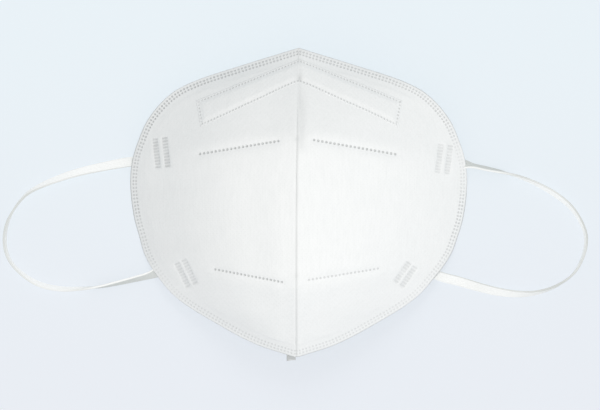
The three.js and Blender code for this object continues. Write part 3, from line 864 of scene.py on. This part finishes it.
def add_panel(name, side, material):
    """One half of the body: the outer face with its relief, and a plainer inner face, which starts
    level with the rim and ends straight below the crease."""
    x, y, along, inward = panel_plan(side)
    lift = panel_relief(side, x, y, along, inward)
    outer = front_points(side, x, y, lift, swelling(side, x, y))
    columns = np.unique(np.append(np.arange(0, x.shape[1], INNER_STEP), x.shape[1] - 1))
    inner_x, inner_y, inner_in = x[:, columns], y[:, columns], inward[:, columns]
    normal = front_normal(side, inner_x, inner_y)
    wall = HEM_WALL + (PANEL_WALL - HEM_WALL) * smooth_step(inner_in, 1, 6.5)
    raised = swelling(side, inner_x, inner_y) * smooth_step(inner_in, 16, 30)
    inner = front_points(side, inner_x, inner_y, -wall, raised)
    flat = normal[:, 0, :2]
    inner[:, 0] = outer[:, 0]
    inner[:, 0, :2] -= flat * (RIM_WALL * HEM_WALL / np.sum(flat ** 2, -1, keepdims=True))
    height = front_height(inner_x, inner_y) - wall / normal[..., 2]
    inner[:, -1] = np.stack([inner_x, inner_y, height], -1)[:, -1]
    points, triangles = two_skins(outer, inner, columns)
    wing = "left" if side > 0 else "right"

    def both(values):
        return np.concatenate([values.reshape(-1), values[:, columns].reshape(-1)])

    def look(kind):
        return np.interp(-y, -HEM_LOOK["y"], HEM_LOOK[f"{wing}_{kind}"])

    # The edge columns of the hem's table give the painted shade along the cut edge.
    attributes = {"rim_along": both(along), "rim_in": both(inward), "hem_firm": both(look("dots")),
                  "painted_edge_shade": both(look("edge")), "painted_crease_shade": both(painted_crease_shade(x, y))}
    panel = make_piece(name + "_cloth", points, triangles, attributes, material)
    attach(panel, "root")
    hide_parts(name)
    return panel


# ---- Seam allowance and nose strip ---------------------------------------------------------

def add_seam(material):
    """The strip of seam allowance behind the crease, cut off past the rim at the chin. It follows
    the height field, and from just before the chin it carries on at the crease's slope."""
    rows, columns = 300, 14
    share = np.linspace(0, 1, columns)[None]
    out = SEAM_CLEARANCE + (SEAM_WIDTH - SEAM_CLEARANCE) * share
    end = SEAM_END_AT_CREASE + (SEAM_END_FREE - SEAM_END_AT_CREASE) * share
    y = SEAM_START + (end - SEAM_START) * np.linspace(0, 1, rows)[:, None]
    straight = CHIN_Y + SEAM_WIDTH
    on_panel = np.maximum(y, straight)
    run = 8
    slope = (crease_height(straight + run) - crease_height(straight)) / run
    x = crease_x(y) - out
    height = front_height(x, on_panel) + slope * (y - on_panel)
    steep = front_normal(-1, x, on_panel)[..., 2]
    ripple = SEAM_RIPPLE * np.sin(y * 0.9 + out)
    depth = PANEL_WALL + SEAM_CLEARANCE

    def skin(depth):
        return np.stack([x, y, height - (depth + ripple) / steep], -1)

    points, triangles = two_skins(skin(depth), skin(depth + SEAM_WALL))
    seam = make_piece("centre_seam_cloth", points, triangles, {}, material)
    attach(seam, "root")
    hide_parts("centre_seam")
    return seam


def add_nose_strip(material):
    """The chevron strip: two straight edges fall away from the middle on each side, between ends
    that slant a little. It is pressed on all round, puffed in between, and bent over the crease.
    Its underside lies just inside the cloth of the panels."""
    columns, rows = 361, 45
    down = np.linspace(0, 1, rows)[None]
    share = np.linspace(-1, 1, columns)[:, None]
    reach = STRIP_TOP_REACH + (STRIP_BOTTOM_REACH - STRIP_TOP_REACH) * down + STRIP_MARGIN
    away = share * reach
    top = STRIP_TOP + STRIP_MARGIN + STRIP_TOP_SLOPE * np.abs(away)
    bottom = STRIP_BOTTOM - STRIP_MARGIN + STRIP_BOTTOM_SLOPE * np.abs(away)
    y = top + (bottom - top) * down
    x = STRIP_MIDDLE + away
    lean = math.cos(math.atan(STRIP_TOP_SLOPE))
    width = (top - bottom) * lean
    from_end = (1 - np.abs(share)) * reach
    from_edge = np.minimum(down, 1 - down) * width
    edge_in = np.minimum(from_end, from_edge)
    edge_along = np.where(from_end < from_edge, down * width, np.abs(away) / lean)
    edge_firm = 1 - 0.6 * bell(np.hypot(from_end, from_edge) - STRIP_MARGIN, 2.2)
    puff = STRIP_RAISED + STRIP_PUFF * smooth_step(edge_in, STRIP_MARGIN, STRIP_MARGIN + 2.4)
    puff = puff + 0.05 * np.sin(away * 0.9) * smooth_step(edge_in, STRIP_MARGIN, STRIP_MARGIN + 2)
    from_crease = x - crease_x(y)
    side = np.where(from_crease < 0, -1.0, 1.0)
    deep = np.full_like(x, 20.0)  # well inside the hem
    relief_right, relief_left = (panel_relief(half, x, y, deep, deep) for half in (-1, 1))
    relief = np.where(side < 0, relief_right, relief_left)
    normal = front_normal(side, x, y)
    over_crease = bell(from_crease, 1.2)[..., None]
    raised = np.where(side < 0, swelling(-1, x, y), swelling(1, x, y)) / normal[..., 2]
    normal = unit(normal * (1 - over_crease * np.array([1, 0, 0])))
    base = np.stack([x, y, front_height(x, y) + raised], -1)
    outer = base + normal * (relief + puff)[..., None]
    inner = base + normal * (relief - STRIP_SUNK)[..., None]
    points, triangles = two_skins(outer, inner)

    def both(values):
        return np.concatenate([values.reshape(-1)] * 2)

    attributes = {"edge_along": both(edge_along), "edge_in": both(edge_in),
                  "edge_firm": both(edge_firm), "painted_crease_shade": both(painted_crease_shade(x, y))}
    strip = make_piece("nose_strip_cloth", points, triangles, attributes, material)
    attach(strip, "root")
    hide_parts("nose_strip")
    return strip


# ---- Stage ---------------------------------------------------------------------------------

FLOOR_BY_NOSE = (0.34, 0.367, 0.385, 1)
FLOOR_BY_CHIN = (0.34, 0.354, 0.375, 1)
GLOW_BY_NOSE = (0.544, 0.591, 0.62, 1)
GLOW_BY_CHIN = (0.549, 0.573, 0.608, 1)
FLOOR_HALF = 3.0  # metres
FLOOR_EASE = 100  # millimetres to each side of the middle, over which its tones ease
ROOM_LIGHT = 0.715
# Each light's place and size in metres, and its power in watts.
BODY_LIGHT = (0.35, -0.26, 1.44), 0.7, 9.1
BAND_LIGHT = (0, 0, 1.44), 0.7, 6.0
FLOOR_LIGHT = (-0.05, 0.98, 1.1), 0.4, 2.5


def add_floor():
    mesh = bpy.data.meshes.new("floor")
    corners = [(-FLOOR_HALF, -FLOOR_HALF, 0), (FLOOR_HALF, -FLOOR_HALF, 0),
               (FLOOR_HALF, FLOOR_HALF, 0), (-FLOOR_HALF, FLOOR_HALF, 0)]
    mesh.from_pydata(corners, [], [(0, 1, 2, 3)])
    mesh.materials.append(floor_paint())
    floor = bpy.data.objects.new("floor", mesh)
    bpy.context.scene.collection.objects.link(floor)
    return floor


def collect(name, pieces):
    """A collection of the pieces, for light linking."""
    found = bpy.data.collections.new(name)
    for piece in pieces:
        found.objects.link(piece)
    return found


def add_light(name, lamp, lit, shades=None):
    """A square soft light that looks at the mask's middle and lights only the objects given.
    Where shades is given, only those cast a shadow."""
    place, size, power = lamp
    data = bpy.data.lights.new(name, "AREA")
    data.size, data.energy = size, power
    light = bpy.data.objects.new(name, data)
    x, y, z = place
    light.location = place
    light.rotation_euler = (math.atan2(math.hypot(x, y), z), 0.0, math.atan2(x, -y))
    bpy.context.scene.collection.objects.link(light)
    light.light_linking.receiver_collection = collect(name + "_lights", lit)
    if shades:
        light.light_linking.blocker_collection = collect(name + "_shades", shades)


def add_lights(body, bands, floor):
    """A bright room, and a soft light for each part by itself: nearly overhead for the body,
    overhead for the bands, and from the nose side for the floor, so that a soft shadow lies below
    the chin."""
    world = bpy.data.worlds.new("soft_room")
    world.use_nodes = True
    background = world.node_tree.nodes["Background"]
    background.inputs["Color"].default_value = (1, 1, 1, 1)
    background.inputs["Strength"].default_value = ROOM_LIGHT
    bpy.context.scene.world = world
    add_light("body_light", BODY_LIGHT, body)
    add_light("band_light", BAND_LIGHT, bands)
    add_light("floor_light", FLOOR_LIGHT, [floor], shades=body)


bpy.context.scene.view_settings.view_transform = "Standard"
add_camera()
band_material = elastic()
right_band = add_band("ear_loop_right", RIGHT_BAND, band_material)
left_band = add_band("ear_loop_left", LEFT_BAND, band_material)
left_panel = add_panel("panel_left", 1, panel_cloth(1))
right_panel = add_panel("panel_right", -1, panel_cloth(-1))
seam = add_seam(seam_cloth())
strip = add_nose_strip(strip_cloth())
add_lights([left_panel, right_panel, seam, strip], [right_band, left_band], add_floor())
